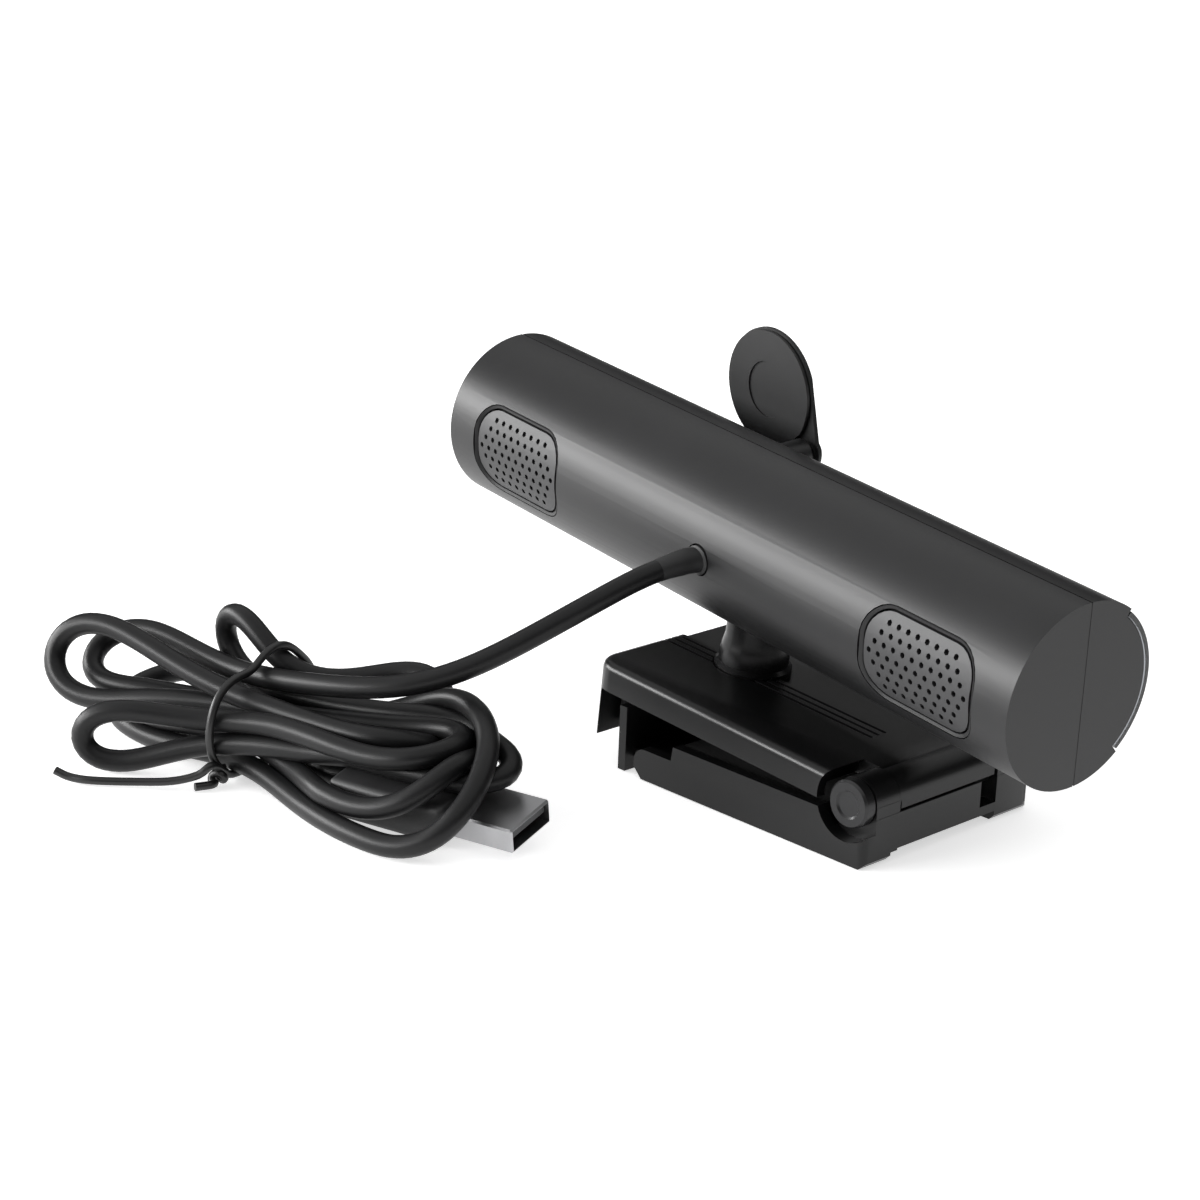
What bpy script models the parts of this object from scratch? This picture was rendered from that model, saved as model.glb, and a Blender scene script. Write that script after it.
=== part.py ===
"""Cylindrical webcam on a folding monitor clip, with its bundled USB cable.

Run with: blender --background --python part.py

Driving dimensions are in millimetres and are turned into metres by MM. The object stands on z = 0 on the
clip's folded leg. X runs along the clip and, but for a small swivel and tilt, along the camera's barrel.
The lens looks towards -Y, and the cable leaves towards +Y.
"""
import math

import bmesh
import bpy
from mathutils import Matrix, Vector

MM = 0.001
GAP = 0.3  # clearance between touching pieces

# Camera barrel, in the camera's own frame: x along the barrel, -y out of the lens, z up
BODY_R = 16.5
BODY_HALF = 77.0
WALL = 1.8
SEAM_Y = -0.7
BODY_HEIGHT = 42.9  # barrel axis above the table
TILT = math.radians(-4.56)  # whole head and clip plate rise towards +X
SWIVEL = math.radians(-6.2)  # barrel turned on the clip
PITCH = math.radians(-5.0)  # lens looks slightly up
SITE_X = -0.03  # puts the bounding box's centre, without the cable, on the origin
SITE_Y = -0.2

# Front window
WINDOW_HALF_ANGLE = math.radians(51.5)
RECESS_R = 14.9
WINDOW_R = 16.1
WINDOW_THICK = 0.9
MIC_X = 30.0
LED_X = -13.5

# Speaker grilles
GRILLE_X = 55.7
GRILLE_HALF_X = 13.4
GRILLE_HALF_Z = 8.7
GRILLE_CORNER = 6.2
GRILLE_R = 16.05
GRILLE_INSET = 1.0  # leaves a sunk border round the perforated face
GRILLE_ROWS = (8, 9, 10, 11, 10, 9, 8)
HOLE_PITCH = 2.24
HOLE_R = 0.55

# Lens
LENS_OPENING_R = 7.7
BEZEL_R = 7.4
BEZEL_FRONT = -16.9

# Privacy cover: its pin lies halfway between the lens and the open disc, so it closes after half a turn
COVER_PIN_X = 11.0
COVER_PIN_Z = 9.2
COVER_R = 11.6
COVER_BACK = -17.3
COVER_FRONT = -19.0

# Neck and swivel, in the plate's frame: z along the neck, origin at the barrel's centre
NECK_R = 5.7
NECK_FOOT_R = 7.2
PLATE_TOP = -24.6
CHANNEL_FLOOR = -25.8
PLATE_UNDER = -27.6
SKIRT_BOTTOM = -30.0
LIP_BOTTOM = -39.6
PLATE_HALF_Y = 23.0
PLATE_LEFT = 18.3
LIP_THICK = 1.7
SKIRT_THICK = 2.0
RIB_GROOVES_Y = (1.9, 3.7, 5.5)

# Leg hinge, in the leg's frame: x and y of the row, z above the table
HINGE_X = -41.7
HINGE_Z = 10.6
KNUCKLE_R = 4.4
BARREL_R = 4.15
BORE_R = 2.3
RELIEF_R = 6.6
PIN_RECESS_Y = 20.1
BARREL_NEAR_Y = 13.7
BARREL_FAR_Y = -12.0
LEG_END = -46.2
RAIL_THICK = 2.4
RAIL_TOP = 8.5
WEB_LOW = 2.0
WEB_HIGH = 4.0
WALL_TOP = 8.6  # the end wall, which follows the barrel
NOTCH_NEAR_Y = -7.9

# Cable
CABLE_R = 2.0
# Route of the loose lead, from the barrel to the top of the hank, chosen by hand
LEAD_ROUTE = (
    (2.7, 18.1, 41.6), (3.6, 23.0, 40.9), (5.0, 29.0, 39.3), (6.9, 35.4, 36.7), (9.4, 41.6, 33.6),
    (12.8, 47.6, 30.0), (16.8, 53.6, 26.4), (21.5, 59.4, 23.2), (27.4, 64.4, 21.0), (34.6, 68.0, 20.0),
)
# The tied hank, measured along it from its tie: two lobes and the waist between them
HANK_CENTRE = (54.4, 72.0)
HANK_TURN = math.radians(11.0)
HANK_HEIGHT = 17.4
HANK_WAIST_HALF = 14.0
HANK_WAIST_REACH = 10.0
# Each lobe's centre along the hank, half length and half width
HANK_LOBES = ((-29.0, 29.5, 23.0), (22.0, 26.0, 20.0))
CLIP_REACH = 56.0  # the clip, turned to its use and with its leg down, ends short of this
TIE_R = 0.7
# The plug's mouth, and the way it faces on the table
PLUG_MOUTH = (-5.9, 61.8)
PLUG_TURN = math.radians(195.0)
PLUG_ROLL = math.radians(9.0)
USB_WIDTH = 12.0
USB_HEIGHT = 4.5
USB_LENGTH = 12.5
OVERMOULD_LENGTH = 24.0
OVERMOULD_WIDTH = 15.4
OVERMOULD_HEIGHT = 7.6
PLUG_LIFT = 5.2

BLACK = (0.018, 0.018, 0.019)


def clear_scene():
    for item in list(bpy.data.objects):
        bpy.data.objects.remove(item, do_unlink=True)


def new_collection(name):
    group = bpy.data.collections.new(name)
    bpy.context.scene.collection.children.link(group)
    return group


def make_material(name, colour, roughness, metallic=0.0, transmission=0.0):
    material = bpy.data.materials.new(name)
    material.use_nodes = True
    shader = material.node_tree.nodes["Principled BSDF"]
    shader.inputs["Base Color"].default_value = (*colour, 1.0)
    shader.inputs["Roughness"].default_value = roughness
    shader.inputs["Metallic"].default_value = metallic
    shader.inputs["Transmission Weight"].default_value = transmission
    material.diffuse_color = (*colour, 1.0)
    return material


def make_empty(name, matrix):
    empty = bpy.data.objects.new(name, None)
    bpy.context.scene.collection.objects.link(empty)
    empty.matrix_world = matrix
    return empty


def finish_part(item, frame, material):
    """Hang a piece on its frame, give it its own material and file it under the object."""
    item.parent = frame
    item.matrix_parent_inverse = Matrix.Identity(4)
    item.data.materials.clear()
    item.data.materials.append(material)
    move_to(item, PARTS)
    return item


def move_to(item, group):
    for owner in list(item.users_collection):
        owner.objects.unlink(item)
    group.objects.link(item)


def mesh_object(name, build):
    mesh = bpy.data.meshes.new(name)
    work = bmesh.new()
    build(work)
    bmesh.ops.recalc_face_normals(work, faces=work.faces)
    work.to_mesh(mesh)
    work.free()
    item = bpy.data.objects.new(name, mesh)
    bpy.context.scene.collection.objects.link(item)
    return item


def box(name, low, high, bevel=0.0, segments=2):
    """A box between two corners, in millimetres, with its edges rounded."""
    size = [b - a for a, b in zip(low, high)]
    middle = [(a + b) / 2 for a, b in zip(low, high)]

    def build(work):
        bmesh.ops.create_cube(work, size=1.0)
        bmesh.ops.scale(work, vec=[s * MM for s in size], verts=work.verts)
        bmesh.ops.translate(work, vec=[m * MM for m in middle], verts=work.verts)

    item = mesh_object(name, build)
    if bevel:
        add_bevel(item, bevel, segments)
    return item


def add_bevel(item, width, segments=2, limit_degrees=30):
    bevel = item.modifiers.new("Bevel", "BEVEL")
    bevel.width = width * MM
    bevel.segments = segments
    bevel.limit_method = "ANGLE"
    bevel.angle_limit = math.radians(limit_degrees)
    return bevel


def cylinder(name, radius, low, high, axis="Z", centre=(0.0, 0.0, 0.0), sides=32):
    """A round bar between two heights along one axis, in millimetres."""
    turn = {
        "X": Matrix.Rotation(math.radians(90), 4, "Y"),
        "Y": Matrix.Rotation(math.radians(-90), 4, "X"),
        "Z": Matrix.Identity(4),
    }[axis]
    along = {"X": Vector((1, 0, 0)), "Y": Vector((0, 1, 0)), "Z": Vector((0, 0, 1))}[axis]

    def build(work):
        bmesh.ops.create_cone(work, cap_ends=True, segments=sides, radius1=radius * MM, radius2=radius * MM,
                              depth=(high - low) * MM, matrix=turn)
        shift = (Vector(centre) + along * (low + high) / 2) * MM
        bmesh.ops.translate(work, vec=shift, verts=work.verts)

    return mesh_object(name, build)


def prism(name, outline, low, high, plane="YZ"):
    """A flat outline as a filled 2D curve, extruded between two heights along the plane's normal."""
    curve = bpy.data.curves.new(name, "CURVE")
    curve.dimensions = "2D"
    curve.fill_mode = "BOTH"
    curve.extrude = (high - low) / 2 * MM
    spline = curve.splines.new("POLY")
    spline.points.add(len(outline) - 1)
    for point, (u, v) in zip(spline.points, outline):
        point.co = (u * MM, v * MM, 0.0, 1.0)
    spline.use_cyclic_u = True
    flat = bpy.data.objects.new(name, curve)
    bpy.context.scene.collection.objects.link(flat)
    rise = Matrix.Translation((0, 0, (low + high) / 2 * MM))
    # columns are the row's directions of the outline's u, its v and the extrusion
    stand = {
        "XY": Matrix.Identity(4),
        "YZ": Matrix(((0, 0, 1, 0), (1, 0, 0, 0), (0, 1, 0, 0), (0, 0, 0, 1))),
        "XZ": Matrix(((1, 0, 0, 0), (0, 0, 1, 0), (0, 1, 0, 0), (0, 0, 0, 1))),
    }[plane]
    return curve_to_mesh(flat, stand @ rise)


def curve_to_mesh(item, matrix):
    """Replace a curve by a closed mesh, with its loose caps joined on."""
    name = item.name
    bpy.context.view_layer.update()
    evaluated = item.evaluated_get(bpy.context.evaluated_depsgraph_get())
    mesh = bpy.data.meshes.new_from_object(evaluated)
    work = bmesh.new()
    work.from_mesh(mesh)
    bmesh.ops.remove_doubles(work, verts=work.verts, dist=0.000001)
    bmesh.ops.dissolve_limit(work, angle_limit=math.radians(0.5), verts=work.verts, edges=work.edges)
    bmesh.ops.transform(work, matrix=matrix, verts=work.verts)
    bmesh.ops.recalc_face_normals(work, faces=work.faces)
    work.to_mesh(mesh)
    work.free()
    bpy.data.objects.remove(item, do_unlink=True)
    solid = bpy.data.objects.new(name, mesh)
    bpy.context.scene.collection.objects.link(solid)
    return solid


def turned(name, profile, steps=32, facing="up"):
    """A turned piece from (radius, height) pairs, in millimetres, with a Screw modifier.

    A profile either starts and ends on the axis or closes on itself. Heights run up z, or forwards to -y, or
    backwards to +y.
    """
    points = list(profile)
    closed = points[0] == points[-1]
    if closed:
        points.pop()
    area = sum(a[0] * b[1] - b[0] * a[1] for a, b in zip(points, points[1:] + points[:1]))
    if area > 0:
        points.reverse()

    def build(work):
        verts = [work.verts.new((r * MM, 0.0, h * MM)) for r, h in points]
        for first, second in zip(verts, verts[1:]):
            work.edges.new((first, second))
        if closed:
            work.edges.new((verts[-1], verts[0]))

    item = mesh_object(name, build)
    screw = item.modifiers.new("Screw", "SCREW")
    screw.axis = "Z"
    screw.steps = steps
    screw.render_steps = steps
    screw.use_merge_vertices = True
    screw.merge_threshold = 0.00001
    item.rotation_euler.x = math.radians({"up": 0, "forward": 90, "backward": -90}[facing])
    return item


def boolean(item, cutter, operation="DIFFERENCE"):
    move_to(cutter, CUTTERS)
    cutter.hide_render = True
    cutter.display_type = "WIRE"
    step = item.modifiers.new(cutter.name, "BOOLEAN")
    step.operation = operation
    step.solver = "EXACT"
    step.object = cutter
    return step


def place(item, frame):
    """Hang a cutter on the frame that it is measured in."""
    item.parent = frame
    item.matrix_parent_inverse = Matrix.Identity(4)
    return item


def arc(radius, start, end, count, centre=(0.0, 0.0)):
    """Points on an arc, with angles from the outline's second axis towards its first, in radians."""
    steps = [start + (end - start) * i / count for i in range(count + 1)]
    return [(centre[0] + radius * math.sin(a), centre[1] + radius * math.cos(a)) for a in steps]


def rounded_rectangle(half_u, half_v, radius, count=6, centre=(0.0, 0.0)):
    quarter = math.pi / 2
    points = []
    corners = ((1, 1), (1, -1), (-1, -1), (-1, 1))
    for index, (side_u, side_v) in enumerate(corners):
        middle = (centre[0] + side_u * (half_u - radius), centre[1] + side_v * (half_v - radius))
        points += arc(radius, index * quarter, (index + 1) * quarter, count, middle)
    return points


def half_disc(radius, rear):
    """Half of a round section on one side of the seam plane, as (y, z) points."""
    edge = SEAM_Y + (GAP / 2 if rear else -GAP / 2)
    lean = math.asin(edge / radius)
    if rear:
        return arc(radius, lean, math.pi - lean, 40)
    return arc(radius, lean, -math.pi - lean, 40)


def stepped_front(outer, inner, half_angle):
    """The front half section, with the window's recess between two angles, as (y, z) points."""
    lean = math.asin((SEAM_Y - GAP / 2) / outer)
    top = -math.pi / 2 + half_angle
    bottom = -math.pi / 2 - half_angle
    return (arc(outer, lean, top, 10) + arc(inner, top, bottom, 26) + arc(outer, bottom, -math.pi - lean, 10))


# Frames that the pieces hang on

def camera_matrix():
    turn = Matrix.Rotation(TILT, 4, "Y") @ Matrix.Rotation(SWIVEL, 4, "Z") @ Matrix.Rotation(PITCH, 4, "X")
    return Matrix.Translation((SITE_X * MM, SITE_Y * MM, BODY_HEIGHT * MM)) @ turn


def plate_matrix():
    centre = Matrix.Translation((SITE_X * MM, SITE_Y * MM, BODY_HEIGHT * MM))
    return centre @ Matrix.Rotation(TILT, 4, "Y")


def leg_matrix():
    return Matrix.Translation(((SITE_X + HINGE_X) * MM, SITE_Y * MM, HINGE_Z * MM))


def cover_matrix():
    return camera_matrix() @ Matrix.Translation((COVER_PIN_X * MM, 0.0, COVER_PIN_Z * MM))


def table_matrix():
    return Matrix.Translation((SITE_X * MM, SITE_Y * MM, 0.0))


# Camera barrel

def hole_centres():
    """Hole centres of one grille as (x, z): rows in a hexagonal pattern."""
    rise = HOLE_PITCH * math.sqrt(3) / 2
    centres = []
    for row, count in enumerate(GRILLE_ROWS):
        height = (row - (len(GRILLE_ROWS) - 1) / 2) * rise
        for column in range(count):
            centres.append(((column - (count - 1) / 2) * HOLE_PITCH, height))
    return centres


def make_rear_shell():
    shell = prism("rear_shell", half_disc(BODY_R, True), -BODY_HALF, BODY_HALF)
    hollow = arc(BODY_R - WALL, -0.2, math.pi + 0.2, 44)
    boolean(shell, place(prism("rear_hollow", hollow, -BODY_HALF + WALL, BODY_HALF - WALL), CAMERA))
    for side in (-1, 1):
        outline = rounded_rectangle(GRILLE_HALF_X + GAP / 2, GRILLE_HALF_Z + GAP / 2, GRILLE_CORNER,
                                    centre=(side * GRILLE_X, 0.0))
        boolean(shell, place(prism(f"grille_opening_{side}", outline, 8.0, 18.0, "XZ"), CAMERA))
    boolean(shell, place(cylinder("gland_hole", 3.0, 10.0, 20.0, "Y", sides=24), CAMERA))
    boolean(shell, place(cylinder("neck_hole_rear", NECK_R + GAP, -20.0, -8.0), PLATE))
    return finish_part(shell, CAMERA, make_material("satin_black_rear", BLACK, 0.42))


def make_front_shell():
    shell = prism("front_shell", stepped_front(BODY_R, RECESS_R, WINDOW_HALF_ANGLE), -BODY_HALF, BODY_HALF)
    inner_step = WINDOW_HALF_ANGLE + math.radians(6.0)
    hollow = stepped_front(BODY_R - WALL, RECESS_R - WALL, inner_step)
    hollow = [(3.0, hollow[0][1])] + hollow + [(3.0, hollow[-1][1])]
    boolean(shell, place(prism("front_hollow", hollow, -BODY_HALF + WALL, BODY_HALF - WALL), CAMERA))
    boolean(shell, place(cylinder("lens_opening", LENS_OPENING_R, -20.0, -8.0, "Y", sides=40), CAMERA))
    boolean(shell, place(cylinder("neck_hole_front", NECK_R + GAP, -20.0, -8.0), PLATE))
    for name, x, z, radius in window_holes():
        boolean(shell, place(cylinder(f"{name}_shell", radius, -20.0, -8.0, "Y", (x, 0.0, z), 16), CAMERA))
    return finish_part(shell, CAMERA, make_material("satin_black_front", BLACK, 0.42))


def window_holes():
    """Small through holes in the window and the front shell: name, x, z, radius."""
    return (
        ("mic_hole_left", MIC_X, 0.0, 0.6),
        ("mic_hole_right", -MIC_X, 0.0, 0.6),
        ("led_hole", LED_X, 0.0, 1.1),
        ("boss_hole", COVER_PIN_X, COVER_PIN_Z, 3.2),
    )


def make_front_window():
    outer = arc(WINDOW_R, -math.pi / 2 + WINDOW_HALF_ANGLE - 0.02, -math.pi / 2 - WINDOW_HALF_ANGLE + 0.02, 28)
    inner = arc(WINDOW_R - WINDOW_THICK, -math.pi / 2 - WINDOW_HALF_ANGLE + 0.02,
                -math.pi / 2 + WINDOW_HALF_ANGLE - 0.02, 28)
    window = prism("front_window", outer + inner, -BODY_HALF, BODY_HALF)
    boolean(window, place(cylinder("window_lens_hole", LENS_OPENING_R, -20.0, -8.0, "Y", sides=40), CAMERA))
    for name, x, z, radius in window_holes():
        boolean(window, place(cylinder(f"{name}_window", radius, -20.0, -8.0, "Y", (x, 0.0, z), 16), CAMERA))
    return finish_part(window, CAMERA, make_material("clear_window", (0.6, 0.62, 0.64), 0.05, 0.0, 0.9))


def make_grille(name, side):
    """A curved plate with the speaker's holes, in a rounded opening of the rear shell."""
    outer = arc(GRILLE_R, math.radians(50), math.radians(130), 16)
    inner = arc(GRILLE_R - 1.2, math.radians(130), math.radians(50), 16)
    low = side * GRILLE_X - GRILLE_HALF_X - 2
    high = side * GRILLE_X + GRILLE_HALF_X + 2
    grille = prism(name, outer + inner, low, high)
    outline = rounded_rectangle(GRILLE_HALF_X - GRILLE_INSET, GRILLE_HALF_Z - GRILLE_INSET,
                                GRILLE_CORNER - GRILLE_INSET, centre=(side * GRILLE_X, 0.0))
    boolean(grille, place(prism(f"{name}_outline", outline, 8.0, 20.0, "XZ"), CAMERA), "INTERSECT")
    boolean(grille, place(make_hole_cutter(f"{name}_holes", side), CAMERA))
    return finish_part(grille, CAMERA, make_material(name + "_black", (0.03, 0.03, 0.031), 0.5))


def make_hole_cutter(name, side):
    turn = Matrix.Rotation(math.radians(90), 4, "X")

    def build(work):
        for x, z in hole_centres():
            spot = Matrix.Translation(((side * GRILLE_X + x) * MM, 14.0 * MM, z * MM))
            bmesh.ops.create_cone(work, cap_ends=True, segments=6, radius1=HOLE_R * MM, radius2=HOLE_R * MM,
                                  depth=10.0 * MM, matrix=spot @ turn)

    return mesh_object(name, build)


def make_speaker(name, side):
    """A small round driver behind its grille."""
    profile = ((0.0, -6.0), (4.4, -6.0), (4.4, -2.6), (7.4, -1.2), (7.4, 0.0), (6.6, 0.0), (2.4, -0.9), (0.0, -0.5))
    speaker = turned(name, profile, 28, "backward")
    speaker.location = (side * GRILLE_X * MM, 11.6 * MM, 0.0)
    return finish_part(speaker, CAMERA, make_material(name + "_paper", (0.05, 0.05, 0.055), 0.7))


def make_boards():
    green = (0.01, 0.06, 0.03)
    main = box("main_board", (-62.0, 1.4, -8.5), (62.0, 2.6, 8.5))
    for side in (-1, 1):
        boolean(main, place(cylinder(f"board_hole_{side}", 1.6, 0.0, 4.0, "Y", (side * 38.0, 0.0, 0.0), 12),
                            CAMERA))
    finish_part(main, CAMERA, make_material("main_board_green", green, 0.5))
    sensor = box("sensor_board", (-11.0, -4.6, -9.5), (11.0, -3.6, 9.5))
    finish_part(sensor, CAMERA, make_material("sensor_board_green", green, 0.5))
    chip = box("image_sensor", (-3.6, -5.9, -2.8), (3.6, -4.9, 2.8), 0.15, 1)
    finish_part(chip, CAMERA, make_material("sensor_glass", (0.05, 0.06, 0.09), 0.1))
    for name, side in (("board_screw_left", 1), ("board_screw_right", -1)):
        profile = ((0.0, 1.5), (2.2, 1.0), (2.2, 0.0), (1.2, 0.0), (1.2, -3.4), (0.0, -3.4))
        screw = turned(name, profile, 14, "backward")
        screw.location = (side * 38.0 * MM, 3.0 * MM, 0.0)
        finish_part(screw, CAMERA, make_material(name + "_steel", (0.5, 0.5, 0.52), 0.3, 1.0))


def make_lens():
    holder = box("lens_holder", (-6.5, -10.4, -6.5), (6.5, -6.2, 6.5), 0.4, 1)
    boolean(holder, place(cylinder("holder_bore", 5.3, -12.0, -4.0, "Y", sides=32), CAMERA))
    finish_part(holder, CAMERA, make_material("holder_black", (0.03, 0.03, 0.03), 0.6))
    # heights run forward, towards -y
    barrel_profile = ((3.6, 14.6), (4.9, 14.6), (4.9, 6.4), (0.0, 6.4))
    barrel = turned("lens_barrel", ((0.0, 13.0), (3.0, 13.4)) + barrel_profile, 32, "forward")
    finish_part(barrel, CAMERA, make_material("barrel_black", (0.02, 0.02, 0.02), 0.35))
    glass_profile = ((0.0, 16.5), (1.6, 16.4), (3.0, 16.1), (4.2, 15.6), (4.2, 14.95), (0.0, 14.95))
    glass = turned("lens_glass", glass_profile, 32, "forward")
    finish_part(glass, CAMERA, make_material("coated_glass", (0.35, 0.4, 0.55), 0.03, 0.0, 0.9))
    front = -BEZEL_FRONT
    ring_profile = ((4.6, front - 0.9), (5.4, front), (6.9, front), (BEZEL_R, front - 0.4), (BEZEL_R, 13.6),
                    (5.3, 13.6), (5.3, 14.9), (4.6, 14.9), (4.6, front - 0.9))
    bezel = turned("lens_bezel", ring_profile, 40, "forward")
    finish_part(bezel, CAMERA, make_material("bezel_black", (0.02, 0.02, 0.022), 0.25))


def make_small_front_parts():
    for name, side in (("mic_left", 1), ("mic_right", -1)):
        mic = cylinder(name, 2.6, -12.4, -10.6, "Y", (side * MIC_X, 0.0, 0.0), 20)
        finish_part(mic, CAMERA, make_material(name + "_can", (0.6, 0.58, 0.5), 0.35, 1.0))
    led = cylinder("status_led", 0.8, -16.0, -11.0, "Y", (LED_X, 0.0, 0.0), 16)
    finish_part(led, CAMERA, make_material("led_pipe", (0.7, 0.75, 0.85), 0.2, 0.0, 0.5))


def make_gland():
    profile = ((0.0, 0.4), (2.3, 0.4), (2.7, 0.1), (2.7, -2.8), (4.2, -2.8), (4.2, -4.0), (0.0, -4.0))
    gland = turned("cable_gland", profile, 28, "backward")
    gland.location = (0.0, BODY_R * MM, 0.0)
    finish_part(gland, CAMERA, make_material("gland_rubber", (0.015, 0.015, 0.016), 0.6))


# Privacy cover

def make_cover():
    boss_profile = ((1.75, 17.0), (2.9, 17.0), (2.9, 11.2), (1.75, 11.2), (1.75, 17.0))
    boss = turned("cover_boss", boss_profile, 24, "forward")
    boss.location = (COVER_PIN_X * MM, 0.0, COVER_PIN_Z * MM)
    finish_part(boss, CAMERA, make_material("boss_black", BLACK, 0.45))
    pin_profile = ((0.0, 20.2), (2.0, 20.1), (2.5, 19.7), (2.5, 19.3), (1.4, 19.3), (1.4, 11.0), (0.0, 11.0))
    pin = turned("cover_pin", pin_profile, 24, "forward")
    pin.location = (COVER_PIN_X * MM, 0.0, COVER_PIN_Z * MM)
    finish_part(pin, CAMERA, make_material("pin_steel", (0.35, 0.35, 0.36), 0.3, 1.0))

    outline = cover_outline()
    plate = prism("privacy_cover", outline, COVER_FRONT, COVER_FRONT + 0.85, "XZ")
    boolean(plate, place(cylinder("cover_pin_hole", 1.7, -22.0, -15.0, "Y", sides=24), COVER))
    add_bevel(plate, 0.25, 1)
    finish_part(plate, COVER, make_material("cover_black", BLACK, 0.4))

    middle = (COVER_PIN_X, COVER_PIN_Z)
    disc = cylinder("cover_backing", COVER_R - 0.35, COVER_BACK - 0.6, COVER_BACK, "Y",
                    (middle[0], 0.0, middle[1]), 56)
    boolean(disc, place(cylinder("cover_dimple", 5.4, COVER_BACK - 0.3, -10.0, "Y", (middle[0], 0.0, middle[1]), 40),
                        COVER))
    boolean(disc, place(cylinder("backing_relief", 3.4, -22.0, -10.0, "Y", sides=24), COVER))
    finish_part(disc, COVER, make_material("cover_back_black", (0.03, 0.03, 0.031), 0.55))


def cover_outline():
    """The disc with its arm to the pin, as (x, z) from the pin. The disc's centre lies away from the lens."""
    reach = math.hypot(COVER_PIN_X, COVER_PIN_Z)
    toward = math.atan2(COVER_PIN_X, COVER_PIN_Z)
    arm_r = 3.3
    disc_gap = math.acos((COVER_R * 0.42) / COVER_R)
    disc = arc(COVER_R, toward + math.pi - disc_gap, toward - math.pi + disc_gap, 52,
               (reach * math.sin(toward), reach * math.cos(toward)))
    tip = arc(arm_r, toward - math.radians(95), toward - math.radians(265), 12)
    return disc + tip


# Neck and clip

def make_neck():
    profile = ((2.3, -12.6), (NECK_R, -12.6), (NECK_R, -18.6), (6.1, -20.2), (6.5, -22.0), (6.5, -23.6),
               (NECK_FOOT_R, -24.2), (NECK_FOOT_R, -25.5), (2.3, -25.5), (2.3, -12.6))
    neck = turned("neck_post", profile, 48)
    finish_part(neck, PLATE, make_material("neck_black", BLACK, 0.3))
    screw_profile = ((0.0, -13.6), (2.0, -13.6), (2.0, -28.9), (3.8, -28.9), (3.8, -30.4), (3.2, -31.0), (0.0, -31.0))
    screw = turned("swivel_screw", screw_profile, 28)
    boolean(screw, place(box("screw_slot", (-3.0, -0.5, -32.0), (3.0, 0.5, -30.2)), PLATE))
    finish_part(screw, PLATE, make_material("swivel_screw_steel", (0.45, 0.45, 0.46), 0.3, 1.0))
    washer_profile = ((2.3, -27.9), (4.8, -27.9), (4.8, -28.6), (2.3, -28.6), (2.3, -27.9))
    washer = turned("swivel_washer", washer_profile, 28)
    finish_part(washer, PLATE, make_material("washer_steel", (0.55, 0.55, 0.56), 0.35, 1.0))


def plate_hinge():
    """The hinge axis as (x, z) in the plate's frame."""
    point = plate_matrix().inverted() @ leg_matrix().translation
    return point.x / MM, point.z / MM


def make_clip_plate():
    hinge_x, hinge_z = plate_hinge()
    plate = prism("clip_plate", plate_plan(), LIP_BOTTOM - 5.0, PLATE_TOP, "XY")
    add_bevel(plate, 1.4, 3, 60)
    boolean(plate, place(prism("plate_side", plate_side(), -30.0, 30.0, "XZ"), PLATE), "INTERSECT")
    inner = box("plate_hollow", (-60.0, -PLATE_HALF_Y + SKIRT_THICK, -60.0),
                (PLATE_LEFT - LIP_THICK - 0.4, PLATE_HALF_Y - SKIRT_THICK, PLATE_UNDER))
    boolean(plate, place(inner, PLATE))
    channel = box("channel", (-34.0, -14.0, CHANNEL_FLOOR), (30.0, 0.7, -20.0))
    boolean(plate, place(channel, PLATE))
    for index, y in enumerate(RIB_GROOVES_Y):
        groove = box(f"rib_groove_{index}", (-34.0, y - 0.35, PLATE_TOP - 0.5), (30.0, y + 0.35, -20.0))
        boolean(plate, place(groove, PLATE))
    pocket = cylinder("neck_pocket", NECK_FOOT_R + GAP, CHANNEL_FLOOR - 0.1, -20.0, sides=48)
    boolean(plate, place(pocket, PLATE))
    boolean(plate, place(cylinder("swivel_hole", 2.4, -30.0, -20.0, sides=28), PLATE))
    barrel = cylinder("barrel_body", BARREL_R, BARREL_FAR_Y - 1.0, BARREL_NEAR_Y + 1.0, "Y",
                      (hinge_x, 0.0, hinge_z), 32)
    boolean(plate, place(barrel, PLATE), "UNION")
    for name, low, high in (("near", BARREL_NEAR_Y, 30.0), ("far", -30.0, BARREL_FAR_Y)):
        relief = cylinder(f"knuckle_relief_{name}", RELIEF_R, low, high, "Y", (hinge_x, 0.0, hinge_z), 40)
        boolean(plate, place(relief, PLATE))
    bore = cylinder("barrel_bore", BORE_R, -30.0, 30.0, "Y", (hinge_x, 0.0, hinge_z), 24)
    boolean(plate, place(bore, PLATE))
    finish_part(plate, PLATE, make_material("clip_black", BLACK, 0.4))


def plate_plan():
    """The plate seen from above, as (x, y): rounded at the lip, and square where it meets the barrel."""
    hinge_x, _ = plate_hinge()
    corner = 4.5
    half = PLATE_HALF_Y
    near = arc(corner, 0.0, math.pi / 2, 6, (PLATE_LEFT - corner, half - corner))
    far = arc(corner, math.pi / 2, math.pi, 6, (PLATE_LEFT - corner, -half + corner))
    return near + far + [(hinge_x, -half), (hinge_x, half)]


def plate_side():
    """The plate seen along y, as (x, z): a flat top, a low skirt and a lip that hangs at the +X end."""
    lip_inside = PLATE_LEFT - LIP_THICK
    return [(-60.0, -20.0), (30.0, -20.0), (30.0, LIP_BOTTOM), (lip_inside, LIP_BOTTOM),
            (lip_inside, SKIRT_BOTTOM - 0.8), (lip_inside - 0.8, SKIRT_BOTTOM), (-60.0, SKIRT_BOTTOM)]


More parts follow.
